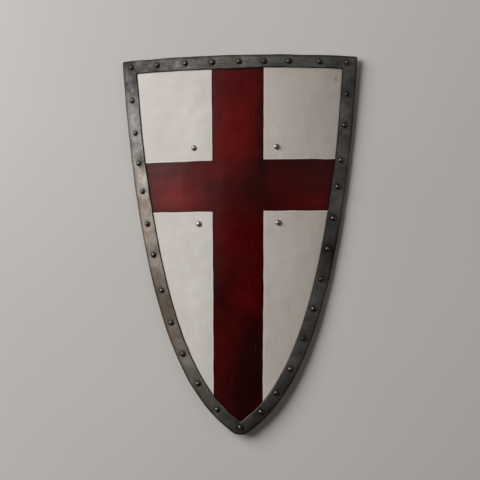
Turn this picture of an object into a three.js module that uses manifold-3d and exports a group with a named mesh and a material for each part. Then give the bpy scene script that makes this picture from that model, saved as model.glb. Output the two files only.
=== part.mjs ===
// A heater shield: a bowed wooden board, bound all round with a folded steel rim, riveted through,
// with two leather arm straps behind it. Millimetres, +Z up, +Y towards the straight top edge.
//
// Every piece is first laid out on a flat sheet, in (across, along, height), and then bowed about a
// line parallel to Y: across is measured round the bow, along runs from the tip up to the top edge,
// and height stands off the painted face of the board. At the end the shield is laid down on its
// back, face up, on the lowest stretch of its two side edges, as it rests on a table.

import * as THREE from "three";
import { mergeVertices } from "three/addons/utils/BufferGeometryUtils.js";
import Module from "manifold-3d";

// ---------------------------------------------------------------- driving dimensions

const LENGTH = 760; // top edge to tip
const BOW_RADIUS = 540; // of the board's painted face
const BOARD_THICKNESS = 8;

const FIELD_HALF_WIDTH = 214.5; // of the face inside the rim, at its top corners
const SIDE_LEAN = 0.081; // how far the sides turn in at the top corners, radians
const SIDE_HANDLE = 562; // how long the sides stay nearly straight
const TIP_HANDLE = 71; // how quickly they turn in to the tip
const TIP_HALF_ANGLE = 0.9; // between the centre line and a side at the tip, radians
const FIELD_TIP_RADIUS = 3; // of the face inside the rim, at its very tip

const TOP_BAND = 27.5; // how far the rim covers the face along the top edge
const SIDE_BAND = 34; // down the sides, at the top corners
const TIP_BAND = 26; // round the tip
const BACK_BAND = 24; // how far the rim covers the back
const STEEL = 1.5; // sheet thickness of the rim
const FOLD_RADIUS = 2.5; // outside the rim's two folds
const GAP = 0.6; // between the board and the steel

const RIM_HEAD = { radius: 5.5, height: 4 }; // domed heads of the rim's rivets
const FIELD_HEAD = { radius: 6, height: 4 }; // domed heads of the strap rivets
const TAIL = { radius: 3.4, height: 1.4 }; // where a rim rivet is hammered over behind
const STRAP_TAIL = { radius: 4.4, height: 1.8 };
const SHANK_RADIUS = 2;
const HOLE_RADIUS = 2.7;
const HEAD_GAP = 0.3; // under a head
const TAIL_GAP = 0.8; // under a tail, because the faces behind are hollow

// Where the rivets sit, as a share of the rim's band from the outer edge.
const SIDE_LINE = 0.53;
const TOP_LINE = 0.5;
const TIP_LINE = 0.56;
const TOP_ROW_END = 227; // how far out the two at the corners are

// The rivets were set by eye, so the gaps along each row differ.
const TOP_ROW = [61, 61, 56, 54, 50, 50, 63, 59]; // left corner to right corner
const RIGHT_ROW = [49, 63, 71, 54, 64, 62, 62, 61, 61, 65.5, 53.5, 47]; // down the right side
const LEFT_ROW = [53, 67.5, 62.5, 58, 67.5, 64, 73.5, 67.5, 66, 65, 62]; // down the left side

// Each strap hangs between two rivets, in (across, along).
const STRAPS = {
  left: { upper: [-89, 195.5], lower: [-80.5, 42.5] },
  right: { upper: [78, 195.5], lower: [80, 43.5] },
};
const STRAP_WIDTH = 30;
const STRAP_THICKNESS = 3;
const STRAP_GAP = 0.6; // the board is hollow behind, so a flat strap end needs a little more
const STRAP_END = 18; // past its rivet
const STRAP_FLAT = 56; // the straight middle that a hand or a forearm bears on
const STRAP_DROP = 28; // how far that middle hangs off the board

const BALANCE_ALONG = 70; // the balance point, above the middle of the length

const SIDE_STEPS = 18;
const TIP_STEPS = 3; // on each side of the centre line
const COLUMNS = 14; // across the board and along the rim's top edge
const RIVET_STEPS = 7;
const HOLE_STEPS = 6;

const STEEL_DARK = new THREE.MeshStandardMaterial({ color: "#5c5956", roughness: 0.5, metalness: 0.9 });
const STEEL_RIVET = new THREE.MeshStandardMaterial({ color: "#6b6864", roughness: 0.4, metalness: 0.9 });
const STEEL_BRIGHT = new THREE.MeshStandardMaterial({ color: "#a9a49e", roughness: 0.4, metalness: 0.9 });
const PAINTED_WOOD = new THREE.MeshStandardMaterial({ color: "#c3bbb2", roughness: 0.6 });
const LEATHER = new THREE.MeshStandardMaterial({ color: "#4a3020", roughness: 0.7 });

const wasm = await Module();
wasm.setup();

// ---------------------------------------------------------------- flat sheet to bowed shield

function bow(across, along, height) {
  const angle = across / BOW_RADIUS;
  const radius = BOW_RADIUS + height;
  return [radius * Math.sin(angle), along, radius * Math.cos(angle) - BOW_RADIUS];
}

// The turn and place that carry an upright local frame to a point of the painted face.
function frameAt([across, along], spin = 0) {
  const [x, y, z] = bow(across, along, 0);
  return new THREE.Matrix4()
    .makeTranslation(x, y, z)
    .multiply(new THREE.Matrix4().makeRotationY(across / BOW_RADIUS))
    .multiply(new THREE.Matrix4().makeRotationZ(spin));
}

// ---------------------------------------------------------------- the outline

// The face inside the rim: its right side runs from the top corner to the small round at the tip.
const FIELD_TOP = LENGTH / 2 - TOP_BAND;
const TIP_CENTRE = new THREE.Vector2(0, -LENGTH / 2 + TIP_BAND + FIELD_TIP_RADIUS);

function fieldSide() {
  const tipNormal = new THREE.Vector2(Math.cos(TIP_HALF_ANGLE), -Math.sin(TIP_HALF_ANGLE));
  const start = new THREE.Vector2(FIELD_HALF_WIDTH, FIELD_TOP);
  const end = TIP_CENTRE.clone().addScaledVector(tipNormal, FIELD_TIP_RADIUS);
  return new THREE.CubicBezierCurve(
    start,
    new THREE.Vector2(-Math.sin(SIDE_LEAN), -Math.cos(SIDE_LEAN)).multiplyScalar(SIDE_HANDLE).add(start),
    new THREE.Vector2(Math.sin(TIP_HALF_ANGLE), Math.cos(TIP_HALF_ANGLE)).multiplyScalar(TIP_HANDLE).add(end),
    end,
  );
}

// A station is a function (share, inset) that gives a point of the sheet: share of the rim's band
// in from the outer edge, plus inset millimetres more.

// Part of the way down the right side: 0 at the top corner, 1 at the tip's round.
function sideStation(fraction) {
  const side = fieldSide();
  const point = side.getPointAt(fraction);
  const tangent = side.getTangentAt(fraction);
  const outward = new THREE.Vector2(-tangent.y, tangent.x);
  const band = SIDE_BAND + (TIP_BAND - SIDE_BAND) * fraction ** 2;
  return (share, inset) => point.clone().addScaledVector(outward, band * (1 - share) - inset).toArray();
}

// Part of the way round the tip: 0 where the right side ends, 1 on the centre line.
function tipStation(fraction) {
  const angle = -TIP_HALF_ANGLE - fraction * (Math.PI / 2 - TIP_HALF_ANGLE);
  return (share, inset) => {
    const radius = FIELD_TIP_RADIUS + TIP_BAND * (1 - share) - inset;
    return [TIP_CENTRE.x + radius * Math.cos(angle), TIP_CENTRE.y + radius * Math.sin(angle)];
  };
}

// The right top corner, where the top band and the side band meet in a mitre.
function cornerStation(share, inset) {
  const along = FIELD_TOP + TOP_BAND * (1 - share) - inset;
  const out = SIDE_BAND * (1 - share) - inset;
  const across = FIELD_HALF_WIDTH + (out + (along - FIELD_TOP) * Math.sin(SIDE_LEAN)) / Math.cos(SIDE_LEAN);
  return [across, along];
}

// Part of the way along the top edge: -1 at the left corner, 1 at the right corner.
function topStation(fraction) {
  return (share, inset) => {
    const [across, along] = cornerStation(share, inset);
    return [across * fraction, along];
  };
}

function mirrored(station) {
  return (share, inset) => {
    const [across, along] = station(share, inset);
    return [-across, along];
  };
}

const sequence = (count, make) => Array.from({ length: count }, (_, index) => make(index));

const rightStations = [
  cornerStation,
  ...sequence(SIDE_STEPS, (index) => sideStation((index + 1) / SIDE_STEPS)),
  ...sequence(TIP_STEPS, (index) => tipStation((index + 1) / TIP_STEPS)),
];
const topStations = sequence(COLUMNS - 1, (index) => topStation((2 * (index + 1)) / COLUMNS - 1));

// Once round the shield: down the right side to the tip, up the left side and back along the top.
const ringStations = [
  ...rightStations,
  ...rightStations.slice(0, -1).reverse().map(mirrored),
  ...topStations,
];

// ---------------------------------------------------------------- geometry helpers

function meshGeometry(points, triangles) {
  const geometry = new THREE.BufferGeometry();
  geometry.setAttribute("position", new THREE.Float32BufferAttribute(points.flat(), 3));
  geometry.setIndex(triangles.flat());
  return geometry;
}

function toSolid(geometry) {
  const bare = geometry.clone();
  bare.deleteAttribute("normal");
  bare.deleteAttribute("uv");
  const merged = mergeVertices(bare);
  return new wasm.Manifold(
    new wasm.Mesh({
      numProp: 3,
      vertProperties: new Float32Array(merged.attributes.position.array),
      triVerts: new Uint32Array(merged.index.array),
    }),
  );
}

function toGeometry(solid) {
  const mesh = solid.getMesh();
  const geometry = new THREE.BufferGeometry();
  geometry.setAttribute("position", new THREE.BufferAttribute(mesh.vertProperties, 3));
  geometry.setIndex(new THREE.BufferAttribute(mesh.triVerts, 1));
  return geometry;
}

// One hole through everything behind a point of the face, square to it.
function holeAt(place) {
  const length = 6 * BOARD_THICKNESS;
  const hole = new THREE.CylinderGeometry(HOLE_RADIUS, HOLE_RADIUS, length, HOLE_STEPS);
  return toSolid(hole.rotateX(Math.PI / 2).applyMatrix4(frameAt(place)));
}

function drilled(geometry, places) {
  return toGeometry(places.reduce((solid, place) => solid.subtract(holeAt(place)), toSolid(geometry)));
}

function named(name, geometry, material) {
  geometry.computeVertexNormals();
  const mesh = new THREE.Mesh(geometry, material.clone());
  mesh.name = name;
  return mesh;
}

// ---------------------------------------------------------------- where the rivets sit

// Running totals: where each rivet of a row is, from where the row starts.
function totals(gaps) {
  let reached = 0;
  return gaps.map((gap) => (reached += gap));
}

function sideRow(gaps) {
  const length = fieldSide().getLength();
  return totals(gaps).map((distance) => sideStation(distance / length)(SIDE_LINE, 0));
}

function rimRivetPlaces() {
  const stops = [0, ...totals(TOP_ROW)];
  const whole = stops[stops.length - 1];
  const along = FIELD_TOP + TOP_BAND * (1 - TOP_LINE);
  const top = stops.map((stop) => [TOP_ROW_END * ((2 * stop) / whole - 1), along]);
  const right = sideRow(RIGHT_ROW);
  const left = sideRow(LEFT_ROW).map(([across, down]) => [-across, down]);
  const tip = [tipStation(1)(TIP_LINE, 0)];
  return { top, right, left, tip };
}

// ---------------------------------------------------------------- the pieces

// A loft between the two edges: rows run across the board, from the top edge to the tip.
function boardGeometry() {
  const edge = rightStations.map((station) => station(0, STEEL + GAP));
  const points = [];
  for (const height of [0, -BOARD_THICKNESS]) {
    for (const [across, along] of edge) {
      for (let column = 0; column <= COLUMNS; column += 1) {
        points.push(bow(across * ((2 * column) / COLUMNS - 1), along, height));
      }
    }
  }
  const wide = COLUMNS + 1;
  const back = wide * edge.length;
  const last = edge.length - 1;
  const at = (row, column) => row * wide + column;
  const triangles = [];
  const quad = (a, b, c, d) => triangles.push([a, b, c], [a, c, d]);
  for (let row = 0; row < last; row += 1) {
    for (let column = 0; column < COLUMNS; column += 1) {
      const corners = [at(row, column), at(row + 1, column), at(row + 1, column + 1), at(row, column + 1)];
      quad(...corners);
      quad(...corners.reverse().map((index) => index + back));
    }
    quad(at(row, 0), at(row, 0) + back, at(row + 1, 0) + back, at(row + 1, 0));
    const end = COLUMNS;
    quad(at(row + 1, end), at(row + 1, end) + back, at(row, end) + back, at(row, end));
  }
  for (let column = 0; column < COLUMNS; column += 1) {
    quad(at(0, column + 1), at(0, column + 1) + back, at(0, column) + back, at(0, column));
  }
  return withoutSlivers(meshGeometry(points, triangles));
}

// The board's last row is a single point, so the triangles that end there as lines are dropped.
function withoutSlivers(geometry) {
  const merged = mergeVertices(geometry);
  const index = Array.from(merged.index.array);
  const kept = [];
  for (let start = 0; start < index.length; start += 3) {
    const [a, b, c] = index.slice(start, start + 3);
    if (a !== b && b !== c && c !== a) {
      kept.push(a, b, c);
    }
  }
  merged.setIndex(kept);
  return merged;
}

// The rim's section, once round: [share of the band, inset, height].
function rimSection() {
  const front = GAP + STEEL;
  const behind = -BOARD_THICKNESS - GAP - STEEL;
  const slack = FOLD_RADIUS * (1 - Math.SQRT1_2);
  return [
    [1, 0, front],
    [0.5, 0, front],
    [0, FOLD_RADIUS, front],
    [0, slack, front - slack],
    [0, 0, front - FOLD_RADIUS],
    [0, 0, behind + FOLD_RADIUS],
    [0, slack, behind + slack],
    [0, FOLD_RADIUS, behind],
    [0, BACK_BAND, behind],
    [0, BACK_BAND, behind + STEEL],
    [0, STEEL, behind + STEEL],
    [0, STEEL, front - STEEL],
    [0.5, 0, front - STEEL],
    [1, 0, front - STEEL],
  ];
}

// The section swept once round the outline.
function rimGeometry() {
  const section = rimSection();
  const points = ringStations.flatMap((station) =>
    section.map(([share, inset, height]) => bow(...station(share, inset), height)),
  );
  const triangles = [];
  ringStations.forEach((_, ring) => {
    const here = ring * section.length;
    const there = ((ring + 1) % ringStations.length) * section.length;
    section.forEach((_, corner) => {
      const next = (corner + 1) % section.length;
      triangles.push([here + corner, there + next, here + next], [here + corner, there + corner, there + next]);
    });
  });
  return meshGeometry(points, triangles);
}

// A rivet through everything between two heights: a domed head in front, a hammered tail behind.
function rivetGeometry(head, tail, top, bottom) {
  const under = top + HEAD_GAP;
  const behind = bottom - TAIL_GAP;
  const profile = [
    [0, behind - tail.height],
    [tail.radius, behind],
    [SHANK_RADIUS, behind],
    [SHANK_RADIUS, under],
    [head.radius, under],
    [head.radius * Math.SQRT1_2, under + head.height * Math.SQRT1_2],
    [0, under + head.height],
  ];
  const points = profile.map(([radius, height]) => new THREE.Vector2(radius, height));
  return new THREE.LatheGeometry(points, RIVET_STEPS).rotateX(Math.PI / 2);
}

function rivet(name, place, geometry, material) {
  const mesh = named(name, geometry, material);
  frameAt(place).decompose(mesh.position, mesh.quaternion, mesh.scale);
  return mesh;
}

// Half of the strap's line, seen from its edge: flat under the rivet, an easy bend, flat in the middle.
function strapLine(halfSpan) {
  const level = -BOARD_THICKNESS - STRAP_GAP - STRAP_THICKNESS / 2;
  const bendStart = halfSpan - 9;
  const bendEnd = STRAP_FLAT / 2;
  const bendSteps = 6;
  const bend = sequence(bendSteps + 1, (index) => {
    const turn = (Math.PI * index) / bendSteps;
    const along = bendStart + (bendEnd - bendStart) * (index / bendSteps);
    return new THREE.Vector2(along, level - (STRAP_DROP * (1 - Math.cos(turn))) / 2);
  });
  return [new THREE.Vector2(halfSpan + STRAP_END, level), ...bend];
}

function strapGeometry(upper, lower) {
  const halfSpan = Math.hypot(upper[0] - lower[0], upper[1] - lower[1]) / 2;
  const half = strapLine(halfSpan);
  const line = [...half, ...half.map((point) => new THREE.Vector2(-point.x, point.y)).reverse()];
  const offset = (side) =>
    line.map((point, index) => {
      const before = line[Math.max(index - 1, 0)];
      const after = line[Math.min(index + 1, line.length - 1)];
      const direction = after.clone().sub(before).normalize();
      return new THREE.Vector2(-direction.y, direction.x).multiplyScalar(side).add(point);
    });
  const shape = new THREE.Shape([...offset(STRAP_THICKNESS / 2), ...offset(-STRAP_THICKNESS / 2).reverse()]);
  const solid = new THREE.ExtrudeGeometry(shape, { depth: STRAP_WIDTH, bevelEnabled: false });
  // The profile was drawn as (along, height) and is as wide as the strap: stand it in its frame.
  solid.applyMatrix4(
    new THREE.Matrix4().makeBasis(
      new THREE.Vector3(0, 1, 0),
      new THREE.Vector3(0, 0, 1),
      new THREE.Vector3(1, 0, 0),
    ),
  );
  solid.translate(-STRAP_WIDTH / 2, 0, 0);
  const middle = [(upper[0] + lower[0]) / 2, (upper[1] + lower[1]) / 2];
  const spin = -Math.atan2(upper[0] - lower[0], upper[1] - lower[1]);
  return solid.applyMatrix4(frameAt(middle, spin));
}

// ---------------------------------------------------------------- assembly

const rimPlaces = rimRivetPlaces();
const strapPlaces = Object.values(STRAPS).flatMap(({ upper, lower }) => [upper, lower]);
const allRimPlaces = Object.values(rimPlaces).flat();

const shield = new THREE.Group();
shield.add(named("shield_board", drilled(boardGeometry(), [...allRimPlaces, ...strapPlaces]), PAINTED_WOOD));
shield.add(named("steel_rim", drilled(rimGeometry(), allRimPlaces), STEEL_DARK));

const rimRivet = rivetGeometry(RIM_HEAD, TAIL, GAP + STEEL, -BOARD_THICKNESS - GAP - STEEL);
for (const [row, places] of Object.entries(rimPlaces)) {
  places.forEach((place, index) => {
    const name = places.length > 1 ? `rim_rivet_${row}_${index + 1}` : `rim_rivet_${row}`;
    shield.add(rivet(name, place, rimRivet, STEEL_RIVET));
  });
}

const strapRivet = rivetGeometry(
  FIELD_HEAD,
  STRAP_TAIL,
  0,
  -BOARD_THICKNESS - STRAP_GAP - STRAP_THICKNESS,
);
for (const [side, { upper, lower }] of Object.entries(STRAPS)) {
  shield.add(named(`arm_strap_${side}`, drilled(strapGeometry(upper, lower), [upper, lower]), LEATHER));
  shield.add(rivet(`strap_rivet_${side}_upper`, upper, strapRivet, STEEL_BRIGHT));
  shield.add(rivet(`strap_rivet_${side}_lower`, lower, strapRivet, STEEL_BRIGHT));
}

// ---------------------------------------------------------------- laid down, face up

// The shield rocks on its two side edges until its balance point is over the stretch that bears.
function restingTilt() {
  const [, inset, height] = rimSection()[7];
  const edge = rightStations.map((station) => bow(...station(0, inset), height));
  const below = edge.findIndex(([, along]) => along < BALANCE_ALONG);
  const [, nearY, nearZ] = edge[below];
  const [, farY, farZ] = edge[below - 1];
  return Math.atan2(nearZ - farZ, farY - nearY);
}

shield.rotation.x = restingTilt();
shield.updateMatrixWorld(true);
const box = new THREE.Box3().setFromObject(shield, true);
const centre = box.getCenter(new THREE.Vector3());
shield.position.set(-centre.x, -centre.y, -box.min.z);

export default shield;
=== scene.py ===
# %% [markdown]
# # A heater shield with a painted cross
#
# This lesson dresses a shield whose structure is already settled. The imported model gives a board, a
# folded rim, rivets and two straps as plain solids in one fixed frame, in metres with Z up. Each of
# them is rebuilt here as a finer surface in the same place, and then gets its paint, steel, leather
# or wood. The first step loads the frame and keeps its box.

# %% Load the frame
import math

import bpy
import numpy as np
from mathutils import Matrix, Vector


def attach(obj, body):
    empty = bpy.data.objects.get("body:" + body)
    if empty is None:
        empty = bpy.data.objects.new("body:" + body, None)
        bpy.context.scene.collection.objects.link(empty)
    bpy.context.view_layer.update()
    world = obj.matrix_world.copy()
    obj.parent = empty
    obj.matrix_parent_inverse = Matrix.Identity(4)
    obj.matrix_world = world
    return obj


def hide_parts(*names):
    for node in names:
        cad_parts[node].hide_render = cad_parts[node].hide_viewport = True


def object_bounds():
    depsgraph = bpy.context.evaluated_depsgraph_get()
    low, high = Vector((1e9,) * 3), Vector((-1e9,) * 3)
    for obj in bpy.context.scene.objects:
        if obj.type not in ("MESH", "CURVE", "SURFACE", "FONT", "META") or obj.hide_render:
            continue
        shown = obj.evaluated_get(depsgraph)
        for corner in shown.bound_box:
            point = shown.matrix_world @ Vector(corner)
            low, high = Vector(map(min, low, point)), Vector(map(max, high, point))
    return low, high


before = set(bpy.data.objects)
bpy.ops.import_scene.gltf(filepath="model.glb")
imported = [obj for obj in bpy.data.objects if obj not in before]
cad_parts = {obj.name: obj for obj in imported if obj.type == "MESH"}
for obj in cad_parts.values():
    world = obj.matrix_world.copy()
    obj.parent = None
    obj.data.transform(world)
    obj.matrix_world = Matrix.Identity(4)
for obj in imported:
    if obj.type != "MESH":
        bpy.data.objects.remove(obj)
cad_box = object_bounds()
rounded_box = [tuple(round(v, 4) for v in corner) for corner in cad_box]
print("CAD nodes:", len(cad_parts), "box:", rounded_box)

# %% [markdown]
# ## From a flat sheet to a bowed shield
#
# The real board is bent: thin planks are glued over a form, so that the face bulges towards the
# enemy. It is easiest to design on a flat sheet, as the maker marks it out, and to bend
# everything at the end. A point of the sheet is (across, along, height) in millimetres: across is
# measured round the bow, along runs up to the straight top edge, and height stands off the
# painted face. Every piece below goes through the one function that bends it.
#
# The shield lies on its back, so it is also turned a little about X. That turn and its shift are
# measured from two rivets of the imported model, one at the tip and one at the middle of the top.

# %% Find how the shield lies
MM = 0.001
BOW_RADIUS = 540.0
TIP_RIVET_ALONG = -365.44  # where the tip's rivet was marked on the sheet
RIM_RIVET_CROWN = 6.4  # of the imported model's rim rivets, off the painted face


def node_points(name):
    """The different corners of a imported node's mesh, in millimetres."""
    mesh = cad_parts[name].data
    flat = np.empty(3 * len(mesh.vertices), np.float32)
    mesh.vertices.foreach_get("co", flat)
    return np.unique(np.round(flat.reshape(-1, 3).astype(float) / MM, 3), axis=0)


tip_rivet, top_rivet = node_points("rim_rivet_tip"), node_points("rim_rivet_top_5")
_, rise_y, rise_z = top_rivet.mean(0) - tip_rivet.mean(0)
tilt = math.atan2(rise_z, rise_y)
lie = np.array([[1, 0, 0], [0, math.cos(tilt), -math.sin(tilt)], [0, math.sin(tilt), math.cos(tilt)]])
stood = tip_rivet @ lie
shift = lie @ np.array([
    stood[:, 0].mean(),
    stood[:, 1].mean() - TIP_RIVET_ALONG,
    stood[:, 2].max() - RIM_RIVET_CROWN,
])
print(f"the shield lies turned by {math.degrees(tilt):.2f} degrees")

# %% [markdown]
# Three small functions go between the sheet and the lying shield. One lays upright points down, one
# bends points of the sheet and lays them down, and one goes backwards. The last of them tells where
# each packed rivet was marked on the sheet.

# %% Bend the sheet and lay it down
def laid(points):
    """Points of the upright shield, in millimetres, carried to where it lies, in metres."""
    return (np.asarray(points) @ lie.T + shift) * MM


def bowed(across, along, height):
    """Bends points of the flat sheet round the bow and lays them down.

    The angle is across divided by the bow's radius, and a point is radius + height from the bow's
    axis: x = (radius + height) sin(angle), y = along, z = (radius + height) cos(angle) - radius.
    """
    across, along, height = np.broadcast_arrays(across, along, height)
    angle, reach = across / BOW_RADIUS, BOW_RADIUS + height
    return laid(np.stack([reach * np.sin(angle), along, reach * np.cos(angle) - BOW_RADIUS], -1))


def unbowed(points):
    """The same backwards: packed points, in millimetres, to (across, along) on the flat sheet."""
    x, y, z = ((points - shift) @ lie).T
    return np.array([np.arctan2(x, z + BOW_RADIUS) * BOW_RADIUS, y]).T


rivet_names = sorted(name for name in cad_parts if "rivet" in name)
rivet_places = {name: unbowed(node_points(name).mean(0)[None])[0] for name in rivet_names}
print(len(rivet_places), "rivets, the tip's at", np.round(rivet_places["rim_rivet_tip"], 1))

# %% [markdown]
# ## The outline
#
# A heater shield has a straight top and two sides that run nearly straight before they curve in to
# a point. One cubic curve draws such a side of the painted field. Its handles were fitted to a real
# shield of this kind, and not worked out from a rule.

# %% Draw one side of the painted field
LENGTH = 760.0  # top edge to tip
TOP_BAND, SIDE_BAND, TIP_BAND, BACK_BAND = 27.5, 34.0, 26.0, 24.0  # how wide the steel is
FIELD_HALF_WIDTH, FIELD_TOP = 214.5, LENGTH / 2 - TOP_BAND
SIDE_LEAN, SIDE_HANDLE = 0.081, 562.0  # how a side leaves its corner: radians off upright, and reach
TIP_HALF_ANGLE, TIP_HANDLE = 0.9, 71.0  # how it comes in to the tip, in the same way
FIELD_TIP_RADIUS = 3.0
TIP_CENTRE = np.array([0.0, -LENGTH / 2 + TIP_BAND + FIELD_TIP_RADIUS])


def direction(angle):
    """The unit arrow at an angle from the sheet's across direction."""
    return np.stack([np.cos(angle), np.sin(angle)], -1)


def field_side():
    """The field's right side: points, and the outward arrow at each, with the distance walked.

    With handles A, B, C and D and t from 0 to 1, a point is
    (1-t)^3 A + 3t(1-t)^2 B + 3t^2(1-t) C + t^3 D.
    """
    a = np.array([FIELD_HALF_WIDTH, FIELD_TOP])
    d = TIP_CENTRE + FIELD_TIP_RADIUS * direction(-TIP_HALF_ANGLE)
    b = a - SIDE_HANDLE * direction(math.pi / 2 - SIDE_LEAN)
    c = d + TIP_HANDLE * direction(math.pi / 2 - TIP_HALF_ANGLE)
    t = np.linspace(0, 1, 4001)[:, None]
    points = (1 - t) ** 3 * a + 3 * t * (1 - t) ** 2 * b + 3 * t**2 * (1 - t) * c + t**3 * d
    run = np.gradient(points, axis=0)
    run /= np.linalg.norm(run, axis=1, keepdims=True)
    walked = np.concatenate([[0], np.cumsum(np.linalg.norm(np.diff(points, axis=0), axis=1))])
    return points, np.stack([-run[:, 1], run[:, 0]], -1), walked


SIDE_POINTS, SIDE_OUTWARD, SIDE_WALKED = field_side()
SIDE_LENGTH = SIDE_WALKED[-1]
print(f"each side of the painted field is {SIDE_LENGTH:.0f} mm long")

# %% [markdown]
# The rim's edges are set off square to that curve by the width of the steel band, which narrows
# towards the tip. A place beside the curve is found by the distance walked down it, because a
# cubic's own parameter bunches its points together.

# %% Step off the side
def columns_at(table, distance):
    """Each column of a table read at a distance down the side."""
    return np.stack([np.interp(distance, SIDE_WALKED, column) for column in table.T], -1)


def beside(distance, inset, from_outer=True):
    """Points next to the right side, and the outward arrow there.

    The band's outer edge stands off the field by 34 mm, less 8 mm times the square of the share of
    the side already walked. Above the corner the side goes straight on. The inset is measured in
    from that outer edge, or out from the field when from_outer is false.
    """
    inside = np.clip(distance, 0, SIDE_LENGTH)
    outward = columns_at(SIDE_OUTWARD, inside)
    band = SIDE_BAND + (TIP_BAND - SIDE_BAND) * (inside / SIDE_LENGTH) ** 2
    beyond = (distance - inside)[:, None] * np.stack([outward[:, 1], -outward[:, 0]], -1)
    reach = band - inset if from_outer else np.full_like(band, -inset)
    return columns_at(SIDE_POINTS, inside) + beyond + outward * reach[:, None], outward


halfway = beside(np.array([SIDE_LENGTH / 2]), 0.0)[0][0]
print("half way down the side, the rim's outer edge is at", np.round(halfway, 1))

# %% [markdown]
# ## Hand-made unevenness
#
# Nothing on this shield is perfectly flat or straight: planks move, gesso is brushed on, and steel
# is hammered over an edge. A sum of sine waves that run in random directions gives such a soft,
# uneven surface. It has no grid of its own to show through, its size is a real length, and a
# fixed seed makes it come out the same each time.

# %% Waves in random directions
def uneven(across, along, size, seed, waves=24):
    """A smooth random height, mostly between -1 and 1, whose bumps are about `size` mm across.

    It is the sum of sin(k . p + phase) over waves with random directions and phases, each 1.4 to
    2.8 times `size` long, divided by one and a half times the root of half their number.
    """
    draw = np.random.default_rng(seed)
    turn = draw.uniform(0, 2 * math.pi, waves)
    k = 2 * math.pi / (2 * size * draw.uniform(0.7, 1.4, waves))
    phase = draw.uniform(0, 2 * math.pi, waves)
    across, along = np.broadcast_arrays(across, along)
    total = np.zeros(across.shape)
    for cosine, sine, offset in zip(k * np.cos(turn), k * np.sin(turn), phase):
        total += np.sin(across * cosine + along * sine + offset)
    return total / math.sqrt(waves / 2) / 1.5


def fade(distance, start, end):
    """A soft step: 0 up to start, 1 from end, and 3t^2 - 2t^3 between them."""
    t = np.clip((distance - start) / (end - start), 0, 1)
    return t * t * (3 - 2 * t)


print("a patch of unevenness spans", np.round(np.ptp(uneven(*np.mgrid[0:200, 0:200], 30, 1)), 2))

# %% [markdown]
# ## One way to make every shell
#
# The board, the rim, the rivets and the straps are all one kind of shape: a closed section that is
# carried along something. The board's section is its front and back in one loop, carried down the
# shield; the rim's is a folded strip, carried round the outline. So one function turns an array of
# such sections into a mesh. It closes each section on itself, and either joins the last one to the
# first or puts a ladder of faces across each end. The mesh's volume, worked out from its own
# faces, shows whether they point outwards.

# %% Sections to a mesh
SHARP_ANGLE = math.radians(38)


def signed_volume(points, faces):
    """The volume inside four-cornered faces: the sum of a . (b x c) / 6 over both halves of each."""
    a, b, c, d = (points[faces[:, corner]] for corner in range(4))
    return (np.cross(b, c) * a).sum() / 6 + (np.cross(c, d) * a).sum() / 6


def shell(name, sections, ring=False, sheet=None, values=None, finish_of=None):
    """A closed mesh from an array of sections, each a loop with an even number of points.

    Faces join point j of section i to its neighbours in the loop and in the next section. Ends that
    aren't joined are closed by a ladder: point j is joined across to point count - 1 - j. sheet
    holds flat (u, v) places in metres with one more row or column wherever the shell closes on
    itself, values holds named numbers for each point, and finish_of gives each face's finish from
    the middle of its sheet places.
    """
    rows, count, _ = sections.shape
    joined = rows if ring else rows - 1
    i, j = np.meshgrid(np.arange(joined), np.arange(count), indexing="ij")
    corner_i = np.stack([i, i + 1, i + 1, i], -1).reshape(-1, 4)
    corner_j = np.stack([j, j, j + 1, j + 1], -1).reshape(-1, 4)
    if not ring:
        step = np.arange(count // 2 - 1)
        rungs = np.stack([step, step + 1, count - 2 - step, count - 1 - step], -1)
        corner_i = np.concatenate([corner_i, np.zeros_like(rungs), np.full_like(rungs, rows - 1)])
        corner_j = np.concatenate([corner_j, rungs, rungs[:, ::-1]])
    faces = (corner_i % rows) * count + corner_j % count
    points = sections.reshape(-1, 3)
    if signed_volume(points, faces) < 0:
        faces, corner_i, corner_j = faces[:, ::-1], corner_i[:, ::-1], corner_j[:, ::-1]
    mesh = bpy.data.meshes.new(name)
    mesh.from_pydata(points.tolist(), [], faces.tolist())
    if sheet is not None:
        places = sheet[corner_i, corner_j]
        layer = mesh.uv_layers.new(name="sheet")
        layer.uv.foreach_set("vector", places.astype(np.float32).ravel())
    for title, value in (values or {}).items():
        data = mesh.attributes.new(title, "FLOAT", "POINT").data
        data.foreach_set("value", np.broadcast_to(value, (rows, count)).astype(np.float32).ravel())
    if finish_of is not None:
        mesh.polygons.foreach_set("material_index", finish_of(places.mean(1)).astype(np.int32))
    mesh.shade_smooth()
    mesh.set_sharp_from_angle(angle=SHARP_ANGLE)
    piece = bpy.data.objects.new(name, mesh)
    bpy.context.scene.collection.objects.link(piece)
    print(f"{name}: {2 * len(faces)} triangles, {signed_volume(points, faces) * 1e6:.1f} cubic cm")
    return piece


print(f"edges that turn by more than {math.degrees(SHARP_ANGLE):.0f} degrees will stay crisp")

# %% [markdown]
# ## Where the cross lies
#
# The painter snapped four long lines for the cross and filled them in by hand. The upright bar is
# a little wider at the top than at the tip, and the crossbar climbs a touch to the right. The lines
# are not quite straight, so each wanders by a third of a millimetre. Each line is a function,
# because both the mesh and the tones below ask where it runs.

# %% Lines of the cross
BAR_HEIGHTS = [-380.0, -279.0, -87.0, 58.0, 202.0, 347.0, 380.0]
BAR_LEFT = [-53.6, -53.3, -52.4, -52.0, -51.1, -51.2, -51.2]
BAR_RIGHT = [44.4, 45.4, 48.9, 50.4, 51.9, 53.9, 54.1]
CROSSBAR_TOP, CROSSBAR_CLIMB, CROSSBAR_BOTTOM = 169.6, 0.0078, 67.2


def wander(across, along, seed):
    """How far a hand-painted line strays at a place: 0.35 mm times unevenness 25 mm across."""
    return 0.35 * uneven(across, along, 25, seed)


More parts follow.
